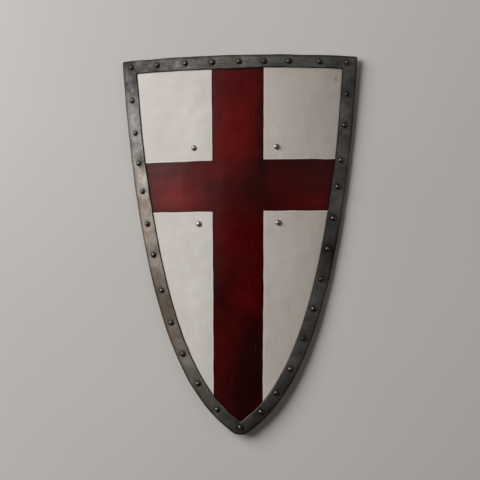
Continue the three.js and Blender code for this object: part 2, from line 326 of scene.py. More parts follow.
def bar_left(along):
    """The upright bar's left line, read between its marks, with its wander."""
    return np.interp(along, BAR_HEIGHTS, BAR_LEFT) + wander(0, along, 11)


def bar_right(along):
    """The upright bar's right line, made in the same way."""
    return np.interp(along, BAR_HEIGHTS, BAR_RIGHT) + wander(0, along, 12)


def crossbar_top(across):
    """The crossbar's upper line: a straight climb to the right, with its wander."""
    return CROSSBAR_TOP + CROSSBAR_CLIMB * across + wander(across, 0, 13)


def crossbar_bottom(across):
    """The crossbar's lower line, level, with its wander."""
    return CROSSBAR_BOTTOM + wander(across, 0, 14)


def inside_cross(across, along):
    """How far a point is inside the cross, in millimetres, and less than 0 outside it.

    It is the greater of the depths inside the two bars, each the smaller distance to its lines.
    """
    upright = np.minimum(across - bar_left(along), bar_right(along) - across)
    level = np.minimum(crossbar_top(across) - along, along - crossbar_bottom(across))
    return np.maximum(upright, level)


print("the upright bar is", np.round(bar_right(300.0) - bar_left(300.0), 1), "mm wide near the top")

# %% [markdown]
# ## The painted board
#
# The real board is wood, skinned and primed with gesso, then painted. Its edge sits in the steel's
# fold, so its outline is the rim's outer edge moved in a little, with a small round at the tip. Two
# things are asked about that outline again and again below: how wide it is at a height, and how far
# a point is from the steel, which was cut by hand and came out narrower than planned.

# %% Outline of the board
FOLD_INSET = 2.1  # from the rim's outer edge in to the board's edge
BOARD_THICKNESS = 8.0
PAST_CORNER = 60.0  # how far a side is followed past its corner, so that it meets the top edge

side_edge, _ = beside(np.linspace(-PAST_CORNER, SIDE_LENGTH, 400), FOLD_INSET)
tip_angles = np.linspace(-TIP_HALF_ANGLE, -math.pi / 2, 60)[1:]
tip_edge = TIP_CENTRE + (TIP_BAND + FIELD_TIP_RADIUS - FOLD_INSET) * direction(tip_angles)
board_edge = np.concatenate([side_edge, tip_edge])
board_top = LENGTH / 2 - FOLD_INSET
field_edge = np.concatenate([SIDE_POINTS, TIP_CENTRE + FIELD_TIP_RADIUS * direction(tip_angles)])


def half_width(edge, along):
    """Half the width of an outline at a height: its across value read between its points."""
    return np.interp(-along, -edge[:, 1], edge[:, 0])


def trimmed(across, along):
    """How much narrower the steel was cut than planned, in millimetres.

    It is 0.2 everywhere, 1.2 more in a soft hollow two hands below the corners, and 1.7 more on the
    right half.
    """
    return 0.2 + 1.2 * np.exp(-(((along - 200) / 70) ** 2)) + 1.7 * fade(across, 0, 60)


def inside_field(across, along):
    """Roughly how far a point is inside the steel's inner edge, in millimetres.

    The distance to a side is the level distance over the root of 1 + slope squared, with the slope
    read over 8 mm of height.
    """
    slope = (half_width(field_edge, along + 4) - half_width(field_edge, along - 4)) / 8
    sideways = (half_width(field_edge, along) - np.abs(across)) / np.hypot(1, slope)
    return np.minimum(sideways, FIELD_TOP - along) + trimmed(across, along)


print(f"the board is {2 * half_width(board_edge, board_top):.0f} mm wide along its top edge")

# %% [markdown]
# The board is one grid of cells about 3 mm wide, which is fine enough to carry its slow waves,
# dents and scuffs as real shape. The grid isn't square: its columns bend to follow the upright bar
# and two of its rows follow the crossbar, so that the line between red and white runs along edges
# of the mesh and stays crisp.

# %% Rows and columns of the board's cells
CELL = 3.0
SIDE_COLUMNS, BAR_COLUMNS = 52, 35
NARROWEST = 3.0  # half-width of the last row, under the steel at the tip
BAR_SHARE = 0.75  # near the tip the bar's columns keep to this share of the half-width
ROW_REACH = 40.0  # how far above and below a line of the crossbar the rows bend with it

walked = np.concatenate([[0], np.cumsum(np.linalg.norm(np.diff(board_edge, axis=0), axis=1))])
first = np.interp(-board_top, -board_edge[:, 1], walked)
last = np.interp(-NARROWEST, -board_edge[:, 0], walked)
levels = np.interp(np.linspace(first, last, int((last - first) / CELL)), walked, board_edge[:, 1])
for line in (CROSSBAR_TOP, CROSSBAR_BOTTOM):
    levels[np.abs(levels - line).argmin()] = line

near_top = np.clip(1 - np.abs(levels - CROSSBAR_TOP) / ROW_REACH, 0, 1)[:, None]
near_bottom = np.clip(1 - np.abs(levels - CROSSBAR_BOTTOM) / ROW_REACH, 0, 1)[:, None]
bar = np.arange(BAR_COLUMNS + 1) / BAR_COLUMNS
wing = np.arange(SIDE_COLUMNS) / SIDE_COLUMNS
across = np.zeros((len(levels), 2 * SIDE_COLUMNS + BAR_COLUMNS + 1))
for _ in range(3):  # the place of a row and its width depend on each other, and settle quickly
    along = (
        levels[:, None]
        + near_top * (crossbar_top(across) - CROSSBAR_TOP)
        + near_bottom * (crossbar_bottom(across) - CROSSBAR_BOTTOM)
    )
    left_edge = -half_width(board_edge, along[:, :1])
    right_edge = half_width(board_edge, along[:, -1:])
    left = np.maximum(bar_left(levels)[:, None], BAR_SHARE * left_edge)
    right = np.minimum(bar_right(levels)[:, None], BAR_SHARE * right_edge)
    across = np.concatenate([
        left_edge + (left - left_edge) * wing,
        left + (right - left) * bar,
        right + (right_edge - right) * (wing + 1 / SIDE_COLUMNS),
    ], 1)
print(f"the board has {across.shape[0]} rows of {across.shape[1]} places on each face")

# %% [markdown]
# The face is then given its real unevenness, in tenths of a millimetre. Three kinds of mark have
# places of their own: a few knocks, a scuff near one corner, and a slight dish round each rivet
# where the wood was pulled down.

# %% Knocks, dishes and the scuff
# Each knock is its place across and along, its radius and its depth.
KNOCKS = [(-118, 282, 5, 0.35), (-152, 225, 4, 0.25), (121, 250, 4, 0.3), (96, -52, 6, 0.3),
          (-92, -38, 5, 0.3), (137, 24, 5, 0.3), (-20, 130, 6, 0.25), (14, -190, 6, 0.3),
          (84, 128, 7, 0.25), (-70, -150, 4, 0.25), (70, -205, 5, 0.3), (-168, 318, 4, 0.3)]
SCUFF = (203.0, 331.0, 4.0, 6.0)  # across, along, and how far it reaches each way


def knock_depth(across, along):
    """The summed depth of the knocks: each is depth times exp(-(distance / radius)^2)."""
    depth = np.zeros(across.shape)
    for x, y, radius, deepest in KNOCKS:
        depth += deepest * np.exp(-((across - x) ** 2 + (along - y) ** 2) / radius**2)
    return depth


def pull_depth(across, along, kind, radius):
    """How far rivets of a kind pull the surface in: exp(-(distance / radius)^2) round each."""
    places = np.array([place for name, place in rivet_places.items() if name.startswith(kind)])
    apart = (across[..., None] - places[:, 0]) ** 2 + (along[..., None] - places[:, 1]) ** 2
    return np.exp(-apart / radius**2).sum(-1)


def scuffed(across, along):
    """How worn the scuff near the corner is, 0 to 1, broken up by fine unevenness."""
    x, y, wide, tall = SCUFF
    near = np.exp(-(((across - x) / wide) ** 2) - ((along - y) / tall) ** 2)
    return near * fade(uneven(across, along, 2.2, 21), -0.3, 0.5)


print(len(KNOCKS), "knocks, the deepest", max(knock[-1] for knock in KNOCKS), "mm")

# %% [markdown]
# Slow waves where the planks moved, shorter ripples, and faint upright ridges left by the brush run
# over the whole face. All of it dies away under the steel, where the rim holds the board.

# %% Relief of the face
WAVE_HEIGHT, RIPPLE_HEIGHT, RIDGE_HEIGHT = 0.30, 0.12, 0.04
DISH_DEPTH, DISH_RADIUS, SCUFF_DEPTH = 0.30, 12, 0.25

free = fade(inside_field(across, along), -4, 14)  # 0 under the steel, 1 well inside its edge
ridges = uneven(across * 9, along * 0.5, 28, 31)  # squeezed to 3 mm across, drawn out to 56 along
relief = free * (
    WAVE_HEIGHT * uneven(across, along, 60, 32)
    + RIPPLE_HEIGHT * uneven(across, along, 17, 33)
    + RIDGE_HEIGHT * ridges
    - knock_depth(across, along)
    - DISH_DEPTH * pull_depth(across, along, "strap_rivet", DISH_RADIUS)
    - SCUFF_DEPTH * scuffed(across, along)
)
print(f"the face rises {relief.max():.2f} mm and dips {-relief.min():.2f} mm")

# %% [markdown]
# Colour on a hand-painted shield also varies in broad areas that no fine pattern gives: the red
# was glazed twice, and it is brown and dark round the crossing, clear and warm lower down, and
# nearly black near the tip. The paler red over the left arm and the upper bar is painted sheen,
# where the light glances off the glaze. Such tones and sheen are laid out as a few soft spots on the
# sheet and kept as one number for each point of the mesh, which the paint's nodes read later. A
# second number says where a faint grey film is painted over the red as more of that sheen: over
# the upper half, twice as much on the left, and down the bar's left side.

# %% Tones of the paint
# Each spot is its place across and along, its reach across and along, and its strength.
# The brighter spots over the left arm and the upper bar are painted sheen of the light; the others are
# the glaze's own tone.
RED_TONE_AND_SHEEN_SPOTS = [(24, 114, 48, 46, -0.26), (-46, -95, 24, 60, -0.17), (30, -215, 34, 75, -0.42),
             (4, -312, 42, 62, -0.34), (-20, 12, 34, 34, 0.12), (14, -105, 28, 30, 0.12),
             (6, -30, 20, 20, -0.07), (0, 235, 60, 110, 0.30), (-125, 100, 70, 50, 0.42),
             (158, 82, 34, 20, 0.28), (105, 160, 90, 14, -0.20), (-40, 190, 30, 50, 0.15),
             (50, 225, 13, 95, -0.32), (-60, 118, 26, 24, -0.18)]
WHITE_SPOTS = [(205, 345, 30, 40, -0.3), (-85, 270, 45, 120, 0.25), (150, 200, 90, 150, 0.18),
               (-85, -60, 50, 160, 0.30), (110, -20, 60, 120, 0.12), (75, -190, 40, 70, -0.15),
               (190, 230, 30, 90, 0.25), (70, 240, 22, 80, 0.18)]


def spots(across, along, table):
    """The sum of soft spots: each is strength times exp(-(x/width)^2 - (y/height)^2)."""
    tone_and_painted_light = np.zeros(across.shape)
    for x, y, wide, tall, strength in table:
        tone_and_painted_light += strength * np.exp(-(((across - x) / wide) ** 2) - ((along - y) / tall) ** 2)
    return tone_and_painted_light


depth = inside_cross(across, along)
tone_and_painted_light = np.where(depth > 0, spots(across, along, RED_TONE_AND_SHEEN_SPOTS), spots(across, along, WHITE_SPOTS))
# Where the grey film of painted sheen goes: the upper half, more on the left, and the bar's left side.
upper_sheen = fade(along, 20, 140) * (1 + fade(-across, 0, 60))
left_sheen = fade(-across, 22, 45) * (fade(along, -130, -20) - 0.8 * fade(along, 85, 135))
painted_sheen_amount = upper_sheen + left_sheen
print(f"the tones run from {tone_and_painted_light.min():.2f} to {tone_and_painted_light.max():.2f}")

# %% [markdown]
# A row of the board's front and back makes one loop, and the loops make its shell. A face is red or
# white by where its middle lies on the sheet.

# %% The board's mesh
def front_and_back(front, back):
    """One loop for each row: the front from left to right, then the back from right to left."""
    return np.concatenate([front, np.broadcast_to(back, front.shape)[:, ::-1]], 1)


def loop_sheet(across, along):
    """(u, v) places in metres with the first column repeated at the end, for a closed section."""
    pair = np.stack(np.broadcast_arrays(across, along), -1) * MM
    return np.concatenate([pair, pair[:, :1]], 1)


def board_finish(middles):
    """Red inside the cross and white outside it, from the middles of faces on the sheet."""
    x, y = middles.T / MM
    return np.where(inside_cross(x, y) > 0, RED, WHITE)


WOOD, WHITE, RED = 0, 1, 2
loop_across, loop_along = front_and_back(across, across), front_and_back(along, along)
board = shell(
    "painted_board",
    bowed(loop_across, loop_along, front_and_back(relief, -BOARD_THICKNESS)),
    sheet=loop_sheet(loop_across, loop_along),
    values={
        "tone_and_painted_light": front_and_back(tone_and_painted_light, 0.0),
        "inside_cross": front_and_back(depth, 0.0),
        "inside_field": front_and_back(inside_field(across, along), 0.0),
        "scuff": front_and_back(scuffed(across, along), 0.0),
        "painted_sheen": front_and_back(painted_sheen_amount, 0.0),
    },
    finish_of=board_finish,
)

# %% [markdown]
# That painted every face, so the faces that aren't in front are turned back to bare wood: the last
# ones of each row, which are its edges and its back, and then both end ladders.

# %% Bare wood behind
columns = across.shape[1]
loop_of_bare = np.arange(2 * columns) >= columns - 1  # of a row's faces, those not in front
bare = np.ones(len(board.data.polygons), bool)
bare[: (len(levels) - 1) * 2 * columns] = np.tile(loop_of_bare, len(levels) - 1)
finish = np.empty(len(bare), np.int32)
board.data.polygons.foreach_get("material_index", finish)
finish[bare] = WOOD
board.data.polygons.foreach_set("material_index", finish)
print("faces of wood, white and red:", np.bincount(finish))

# %% [markdown]
# ## The folded rim
#
# The rim is a strip of sheet steel, hammered over the board's edge so that it shows as a band in
# front and a narrower one behind. Its section is a long hook with two round folds, and the outline
# carries that section once round the shield. At each place along the outline three points are
# needed: the outer edge, the front band's inner edge and the back band's inner edge. The corners
# are mitred, with a small round at each so that the loop stays clean.

# %% Corners of the rim
OUTER_ROUND, INNER_ROUND = 4.0, 1.2
# From the field's corner up the side's line to the outer corner, and the step in from that corner
# for each millimetre of the band.
CORNER_RISE = (TOP_BAND + SIDE_BAND * math.sin(SIDE_LEAN)) / math.cos(SIDE_LEAN)
MITRE = np.array([-(1 + math.sin(SIDE_LEAN)) / math.cos(SIDE_LEAN), -1.0])
OUTER_CORNER = np.array([
    FIELD_HALF_WIDTH + (SIDE_BAND + TOP_BAND * math.sin(SIDE_LEAN)) / math.cos(SIDE_LEAN),
    LENGTH / 2,
])
FIELD_CORNER = np.array([FIELD_HALF_WIDTH, FIELD_TOP])
BACK_CORNER = OUTER_CORNER + BACK_BAND * MITRE


def corner_stations():
    """The top right corner: three small rounds about centres on the mitre line.

    Each centre is its corner moved in along the mitre by the round's radius, and a point is that
    centre + radius times the arrow, which turns from the top's outward arrow to the side's.
    """
    arrow = direction(np.linspace(math.pi / 2, -SIDE_LEAN, 9))
    return [
        OUTER_CORNER + OUTER_ROUND * (MITRE + arrow),
        FIELD_CORNER + INNER_ROUND * (MITRE + arrow),
        BACK_CORNER + INNER_ROUND * (MITRE + arrow),
        arrow,
    ]


print("the top right outer corner is at", np.round(OUTER_CORNER, 1))

# %% [markdown]
# From that corner the stations go down the right side, round the tip, up the left side and back
# along the top. The left side is the mirror image of the right. Below the corner the three edges
# start askew, because of the mitre, and come level with each other further down.

# %% Stations round the shield
STATION_STEP = 3.3
MITRE_RUN = 1.084  # how far down the side the mitre comes for each millimetre of the band
FAN, FAN_START = 60.0, 0.075  # how far down the side the skew dies away, and its first share
TOP_SHORT = (6.5, 2.5, 3.0)  # how far short of its corner each of the three edges ends at the top


def side_stations():
    """The right side: the three edges start at their own corners and keep level after the fan."""
    starts = (-CORNER_RISE, 0.0, -CORNER_RISE + BACK_BAND * MITRE_RUN)
    fan = np.linspace(FAN_START, 1, int((FAN + CORNER_RISE) / STATION_STEP))
    rest = np.linspace(FAN, SIDE_LENGTH, int((SIDE_LENGTH - FAN) / STATION_STEP) + 1)[1:]
    reach = [np.concatenate([start + (FAN - start) * fan, rest]) for start in starts]
    outer, arrow = beside(reach[0], 0.0)
    field, _ = beside(reach[1], 0.0, from_outer=False)
    back, _ = beside(reach[2], BACK_BAND)
    return [outer, field, back, arrow]


def tip_stations():
    """The round at the tip: three circles about one centre."""
    arrow = direction(np.linspace(-TIP_HALF_ANGLE, -math.pi / 2, 8)[1:])
    radii = (TIP_BAND + FIELD_TIP_RADIUS, FIELD_TIP_RADIUS, TIP_BAND + FIELD_TIP_RADIUS - BACK_BAND)
    return [TIP_CENTRE + radius * arrow for radius in radii] + [arrow]


def top_stations():
    """The top edge, left to right: each edge is its own end's across value times the share."""
    share = np.linspace(-1, 1, int(2 * OUTER_CORNER[0] / STATION_STEP))
    corners = (OUTER_CORNER[0], FIELD_CORNER[0], BACK_CORNER[0])
    heights = (LENGTH / 2, FIELD_TOP, LENGTH / 2 - BACK_BAND)
    rows = [
        np.stack([(corner - short) * share, np.full_like(share, height)], -1)
        for corner, short, height in zip(corners, TOP_SHORT, heights)
    ]
    return rows + [np.tile([0.0, 1.0], (len(share), 1))]


right = [np.concatenate(parts) for parts in zip(corner_stations(), side_stations(), tip_stations())]
left = [part[-2::-1] * [-1, 1] for part in right]
outer, field, back, arrow = (np.concatenate(parts) for parts in zip(right, left, top_stations()))
print(f"{len(outer)} stations once round, the first at {np.round(outer[0], 1)}")

# %% [markdown]
# The section is listed point by point, once round the folded strip: the cut edge of the front band,
# the band itself, the first fold, the outer edge, the second fold, the back band and its cut edge,
# and then the inside of the channel. The strip was cut with shears, so its two cut edges wander by
# half a millimetre or more, the front one on top of its narrower trim, and the folded outer edge
# wanders a little too.

# %% Section of the rim
FRONT, BEHIND = 2.1, -10.1  # heights of the steel's two outer faces
STEEL, FOLD = 1.5, 2.5  # its wall, and the radius of its folds
SHOULDER = 5.0  # how wide the front fold was beaten down
OUTER_WANDER, FIELD_WANDER, BACK_WANDER = 0.3, 0.4, 0.8

outer = outer - arrow * OUTER_WANDER * uneven(*outer.T, 30, 41)[:, None]
field = field + arrow * (FIELD_WANDER * uneven(*field.T, 16, 42) + trimmed(*field.T))[:, None]
back = back + arrow * BACK_WANDER * uneven(*back.T, 18, 43)[:, None]

bend = np.linspace(0, math.pi / 2, 7)
none = 0 * bend
band_front = [0.955, *np.linspace(0.92, 0.04, 14)]
band_back = [*np.linspace(0.08, 0.96, 7), 0.985]
# Each row: inset from the outer edge, share towards the field, share towards the back band's
# edge, and height.
section = np.concatenate([
    [[SHOULDER, 1.0, 0, FRONT - drop] for drop in (STEEL, 1.0, 0.45)],
    [[SHOULDER, 0.98, 0, FRONT - 0.12]],
    [[SHOULDER, share, 0, FRONT] for share in band_front],
    np.stack([SHOULDER - SHOULDER * np.sin(bend), none, none, FRONT - FOLD + FOLD * np.cos(bend)], -1),
    [[0, 0, 0, height] for height in (-2.2, -4.0, -5.8)],
    np.stack([FOLD - FOLD * np.cos(bend), none, none, BEHIND + FOLD - FOLD * np.sin(bend)], -1),
    [[FOLD, 0, share, BEHIND] for share in band_back],
    [[FOLD, 0, 1.0, BEHIND + 0.4], [FOLD, 0, 1.0, BEHIND + STEEL], [FOLD, 0, 0.4, BEHIND + STEEL]],
    [[STEEL, 0, 0, BEHIND + STEEL], [STEEL, 0, 0, -4.0], [STEEL, 0, 0, FRONT - STEEL]],
    [[FOLD, 0.3, 0, FRONT - STEEL], [FOLD, 0.7, 0, FRONT - STEEL]],
])
inset, to_field, to_back, height = section.T
foot = outer[:, None] - arrow[:, None] * inset[:, None]
edge = foot + to_field[:, None] * (field[:, None] - foot) + to_back[:, None] * (back[:, None] - foot)
rim_across, rim_along = edge[..., 0], edge[..., 1]
print(f"the section has {len(section)} points")

# %% [markdown]
# The strip was then beaten down by hand. The band in front has shallow hammer marks, stands up
# a little along its middle, and is drawn in round each rivet, and the band behind shows the marks
# faintly. All of this is shape, not only shading, because it bends the long highlights.

# %% Hammer the rim
BLOW_DEPTH, PEEN_DEPTH = 0.20, 0.05  # of the broad hammer marks and of the small ones
BAND_BULGE = 0.7  # how far the front band stands up along its middle
DRAWN_DEPTH, DRAWN_RADIUS = 0.85, 8.5  # how far, and how far round it, a rivet draws the band in
BEATEN_FROM = FRONT - 1.3  # the front's points above this height are lifted
BEHIND_SHARE = 0.25  # how much of the marks shows behind

hammered = BLOW_DEPTH * uneven(rim_across, rim_along, 22, 44)
hammered += PEEN_DEPTH * uneven(rim_across, rim_along, 8, 45)
bulge = BAND_BULGE * 4 * to_field * (1 - to_field)
drawn_in = DRAWN_DEPTH * pull_depth(rim_across, rim_along, "rim_rivet", DRAWN_RADIUS)
on_band = (height > BEATEN_FROM) & (inset + to_field > 0)
lift = np.where(on_band, hammered + bulge - drawn_in, 0)
lift += np.where(height < BEHIND + 0.5, BEHIND_SHARE * hammered, 0)
print(f"the band rises {lift.max():.2f} mm and is drawn in by {-lift.min():.2f} mm")

# %% [markdown]
# Steel, too, ages in broad areas: bright where hands and sleeves rubbed it, dull and brown where
# damp sat. The same kind of soft spots says where it is lighter or darker, and a few of them are
# painted light: soft reflections on the band and shade at its outer edge. Other spots say where it
# is warm, partly with rust and partly with a painted warm reflection of the light on the left band.
# The rim's own sheet runs once round the shield and then over the section, so that scratches can
# follow the band.

# %% Tones and mesh of the rim
# Each spot is its place across and along, its reach across and along, and its strength.
# Some lighter spots paint soft reflections on the band, and some darker ones paint shade at its outer
# edge; the rest are the steel's own tone.
RIM_TONE_AND_LIGHT_SPOTS = [(-225, 80, 50, 110, 0.14), (-240, 245, 40, 45, 0.02), (-235, 345, 50, 45, -0.10),
             (-190, -118, 50, 72, -0.19), (-140, -215, 50, 40, -0.04), (-60, -330, 90, 60, -0.12),
             (60, -330, 90, 60, -0.10), (-120, 370, 110, 40, -0.08),
             (100, 370, 90, 30, 0.02), (170, -105, 34, 34, 0.05), (228, 125, 40, 42, 0.05),
             (205, -12, 40, 44, -0.06), (-140, 366, 22, 30, -0.09), (0, 366, 45, 30, -0.07),
             (-238, 374, 16, 16, -0.16), (35, -358, 34, 22, -0.08),
             (-146, -285, 14, 40, -0.12), (-118, -322, 14, 30, -0.07), (-150, -190, 40, 60, -0.07),
             (-213, 318, 14, 50, -0.10), (-203, 166, 9, 16, -0.24), (-211, 80, 10, 22, -0.09),
             (-200, -31, 16, 16, -0.07), (-205, 5, 16, 16, 0.04), (200, -32, 40, 40, -0.12),
             (218, 80, 34, 18, 0.13), (226, 177, 26, 12, 0.11), (176, -106, 34, 13, 0.06)]
# The warm spots on the left band and the top are partly rust and partly a painted warm reflection of
# the light.
WARM_REFLECTION_AND_RUST_SPOTS = [(-225, 55, 60, 80, 0.9), (-170, -110, 60, 110, 0.5), (0, 370, 60, 30, 0.25),
              (-90, -300, 60, 60, 0.3), (-148, -215, 50, 70, 0.45), (-203, 166, 10, 18, 0.4)]
BAND_SCALE = 30.0  # from_edge counts every band, wide or narrow, as this much beyond its shoulder
FRONT_RUN, BACK_RUN, LAST_RUN = 31.0, 18.0, 10.0  # over the two bands and the last step, on the sheet
DIRT_RADIUS = 7.5  # how far dirt reaches round a rivet

steps = np.linalg.norm(np.diff(outer, axis=0, append=outer[:1]), axis=1)
round_trip = np.concatenate([[0], np.cumsum(steps)])
flat_inset = inset + FRONT_RUN * to_field + BACK_RUN * to_back
girth = np.concatenate([[0], np.cumsum(np.hypot(np.diff(flat_inset), np.diff(height)))])
girth = np.append(girth, girth[-1] + LAST_RUN)
rim = shell(
    "folded_rim",
    bowed(rim_across, rim_along, height + lift),
    ring=True,
    sheet=np.stack(np.broadcast_arrays(round_trip[:, None], girth), -1) * MM,
    values={
        "from_edge": np.where(height > FRONT - FOLD, inset + BAND_SCALE * to_field, 0.0)[None],
        "by_tip": fade(-rim_along, 270, 330),
        "tone_and_painted_light": spots(rim_across, rim_along, RIM_TONE_AND_LIGHT_SPOTS),
        "warm_reflection_and_rust": spots(rim_across, rim_along, WARM_REFLECTION_AND_RUST_SPOTS),
        "by_rivet": pull_depth(rim_across, rim_along, "rim_rivet", DIRT_RADIUS),
    },
)

# %% [markdown]
# ## Rivets
#
# Each rivet is an iron nail with a domed head, driven through steel and wood and clenched
# over behind. The four that hold the straps go through the painted field, and are larger and
# brighter. So there are two outlines, each drawn once.

# %% Outlines of the two rivets
SHANK = 2.0  # the nail's radius


def rivet_profile(head, crown, face, back, tail):
    """The rivet's outline from the head's crown to the tail's, as (radius, height).

    The head is a quarter of an ellipse with a small roll at its foot, the shank is straight, and
    the tail is a flatter quarter of an ellipse. head and tail are radii, and the rest are heights.
    """
    swing = np.linspace(0.02, math.pi / 2, 11)
    dome = np.stack([head * np.sin(swing), face + 0.35 + (crown - 0.35) * np.cos(swing)], -1)
    foot = [[head * 0.985, face + 0.05], [head * 0.95, face - 0.1]]
    shank = [[SHANK, face - 0.1], [SHANK, back + 0.1], [tail * 0.95, back + 0.1]]
    spread = np.stack([tail * np.cos(swing), back - 0.2 - 1.5 * np.sin(swing)], -1)[:-1]
    return np.concatenate([dome, foot, shank, spread, [[0.02, back - 1.71]]])


rim_profile = rivet_profile(head=5.5, crown=4.5, face=FRONT - 0.25, back=BEHIND, tail=3.4)
strap_profile = rivet_profile(head=6.0, crown=4.6, face=0.0, back=-12.6, tail=4.4)
print(f"a rivet's outline has {len(rim_profile)} points")

# %% [markdown]
# An outline is turned about its own axis like a pot on a wheel. The heads were finished with a
# hammer, so each one gets its own slight size, slant, flats and turn, drawn at random with the
# rivet's number as the seed. A frame that stands square to the bowed face carries it to its place.

# %% Turn, dent and place the rivets
SEGMENTS = 32
DENT_SIZE, DENT_DEPTH, SLANT = 3.4, 0.09, 0.03  # of a head's flats, and how far its top may slant


def upright_at(place, spin=0.0):
    """The turn and the shift, in millimetres, from a local frame to the shield at a place.

    The local Z is square to the bowed face there, and spin turns the frame about it.
    """
    angle = place[0] / BOW_RADIUS
    turn = Matrix.Rotation(angle, 3, "Y") @ Matrix.Rotation(spin, 3, "Z")
    here = [BOW_RADIUS * math.sin(angle), place[1], BOW_RADIUS * math.cos(angle) - BOW_RADIUS]
    return np.array(turn), np.array(here)


def rivet(name, place, profile, seed):
    """Turns the profile about Z: (radius cos a, radius sin a, height), dented and then placed."""
    draw = np.random.default_rng(seed)
    around = np.arange(SEGMENTS) * 2 * math.pi / SEGMENTS
    radius, height = profile[:, :1] * draw.uniform(0.95, 1.04), profile[:, 1:]
    x, y = radius * np.cos(around), radius * np.sin(around)
    dents = uneven(x + 40 * seed, y, DENT_SIZE, 51) * fade(height, 0, 2) * DENT_DEPTH
    slant = (x * draw.uniform(-SLANT, SLANT) + y * draw.uniform(-SLANT, SLANT)) * (height > 0)
    local = np.stack([x, y, height + dents + slant], -1)
    turn, here = upright_at(place, draw.uniform(0, 6.28))
    return shell(name, laid(local @ turn.T + here))


rivets = {}
for number, (name, place) in enumerate(rivet_places.items()):
    profile = strap_profile if name.startswith("strap") else rim_profile
    rivets[name] = rivet(name.replace("rivet", "dome"), place, profile, number)

# %% [markdown]
# ## Arm straps
#
# Behind the board hang two straps of thick leather, one for the forearm and one for the hand. A
# strap is a band held at both ends that stands off the board in the middle. Its middle line is
# straight, then half a cosine wave, then straight again.

# %% Middle line of a strap
STRAP_LEVEL, STRAP_DROP = -10.1, 28.0  # its middle's height at the rivets, and how far it stands off
STRAP_SEAT, STRAP_END = 9.0, 18.0  # how far it lies flat inside a rivet, and how far it goes past it
STRAP_FLAT = 56.0  # the flat stretch in its middle


def strap_line(half_span):
    """(along, height) down the strap: under the rivet, half a cosine down, then flat, mirrored."""
    bend = half_span - STRAP_SEAT
    # Distances in from the strap's end, close together where it rounds off.
    from_end = [0.35, 0.8, 1.6, 2.8, 4.4, 6.4, 8.8, 11.6, 15.0, 18.0, 21.0, 24.0]
    along = np.concatenate([
        half_span + STRAP_END - np.array(from_end),
        np.linspace(bend, STRAP_FLAT / 2, 20),
        np.linspace(STRAP_FLAT / 2 - 3, 0, 9),
    ])
    share = np.clip((bend - along) / (bend - STRAP_FLAT / 2), 0, 1)
    half = np.stack([along, STRAP_LEVEL - STRAP_DROP * (1 - np.cos(math.pi * share)) / 2], -1)
    return np.concatenate([half, half[-2::-1] * [-1, 1]])


upper, lower = rivet_places["strap_rivet_left_upper"], rivet_places["strap_rivet_left_lower"]
print(f"the left strap's rivets are {np.hypot(*(upper - lower)):.0f} mm apart")

# %% [markdown]
# The band's own section is carried along that line. It is a flat oval with a crease pressed in
# near each edge, and it narrows to a half circle at the ends. Both faces share the same soft
# wrinkles, so that the leather keeps its thickness.

# %% Carry the section along the line
STRAP_WIDTH, STRAP_THICKNESS = 30.0, 3.0
CREASE_DEPTH, CREASE_INSET, CREASE_WIDTH = 0.4, 3.4, 0.8
WRINKLE_DEPTH, PUCKER_DEPTH = 0.16, 0.10


def strap(name, upper, lower):
    """The section |x/a|^10 + |z/b|^2 = 1 carried along the line, with creases and soft wrinkles."""
    half_span = np.hypot(*(upper - lower)) / 2
    line = strap_line(half_span)
    run = np.gradient(line, axis=0)
    run /= np.linalg.norm(run, axis=1, keepdims=True)
    radius = STRAP_WIDTH / 2
    to_end = np.clip(half_span + STRAP_END - np.abs(line[:, 0]), 0, radius)
    half_wide = np.sqrt(radius**2 - (radius - to_end) ** 2)[:, None]
    u = np.sin(np.linspace(-1, 1, 41) * math.pi / 2 * 0.93)
    x = half_wide * u
    thick = STRAP_THICKNESS / 2 * np.sqrt(1 - np.abs(u) ** 10) * np.ones_like(half_wide)
    off_crease = (half_wide - np.abs(x) - CREASE_INSET) / CREASE_WIDTH
    crease = CREASE_DEPTH * np.exp(-(off_crease**2)) * (to_end > 3)[:, None]
    wrinkle = WRINKLE_DEPTH * uneven(x, line[:, :1], 6, 61)
    wrinkle += PUCKER_DEPTH * uneven(x * 0.4, line[:, :1], 3.5, 62)
    outwards = np.stack([-run[:, 1], run[:, 0]], -1)
    sides = []
    for sign in (1, -1):
        off = sign * (thick - crease) + wrinkle
        y = line[:, :1] + outwards[:, :1] * off
        z = line[:, 1:] + outwards[:, 1:] * off
        sides.append(np.stack([x, y, z], -1))
    local = np.concatenate([sides[0], sides[1][:, ::-1]], 1)
    spin = -math.atan2(upper[0] - lower[0], upper[1] - lower[1])
    turn, here = upright_at((upper + lower) / 2, spin)
    walked = np.concatenate([[0], np.cumsum(np.linalg.norm(np.diff(line, axis=0), axis=1))])
    wide = np.concatenate([x, x[:, ::-1]], 1)
    burnished = fade(np.abs(np.concatenate([u, u[::-1]])), 0.86, 0.99)
    return shell(
        name,
        laid(local @ turn.T + here),
        sheet=loop_sheet(wide, walked[:, None]),
        values={"edge": burnished[None]},
    )


straps = {}
for side in ("left", "right"):
    ends = [rivet_places[f"strap_rivet_{side}_{end}"] for end in ("upper", "lower")]
    straps[side] = strap(f"leather_strap_{side}", *ends)

# %% [markdown]
# ## Nodes for the finishes
#
# A material in Blender is a small graph: nodes make patterns, and the Principled shader turns
# them into light. Colours are written as painters' swatches in hexadecimal, which are sRGB, and one
# function turns them to the linear light that the shader needs. A pattern's scale is the number of
# its cells in a metre, so it is worked out from a size in millimetres.

# %% Swatches and sizes
def linear(swatch):
    """sRGB hex to linear RGBA: c / 12.92 up to 0.04045, and ((c + 0.055) / 1.055)^2.4 above it."""
    channels = np.array([int(swatch[i : i + 2], 16) for i in (1, 3, 5)]) / 255
    light = np.where(channels <= 0.04045, channels / 12.92, ((channels + 0.055) / 1.055) ** 2.4)
    return (*light.tolist(), 1.0)


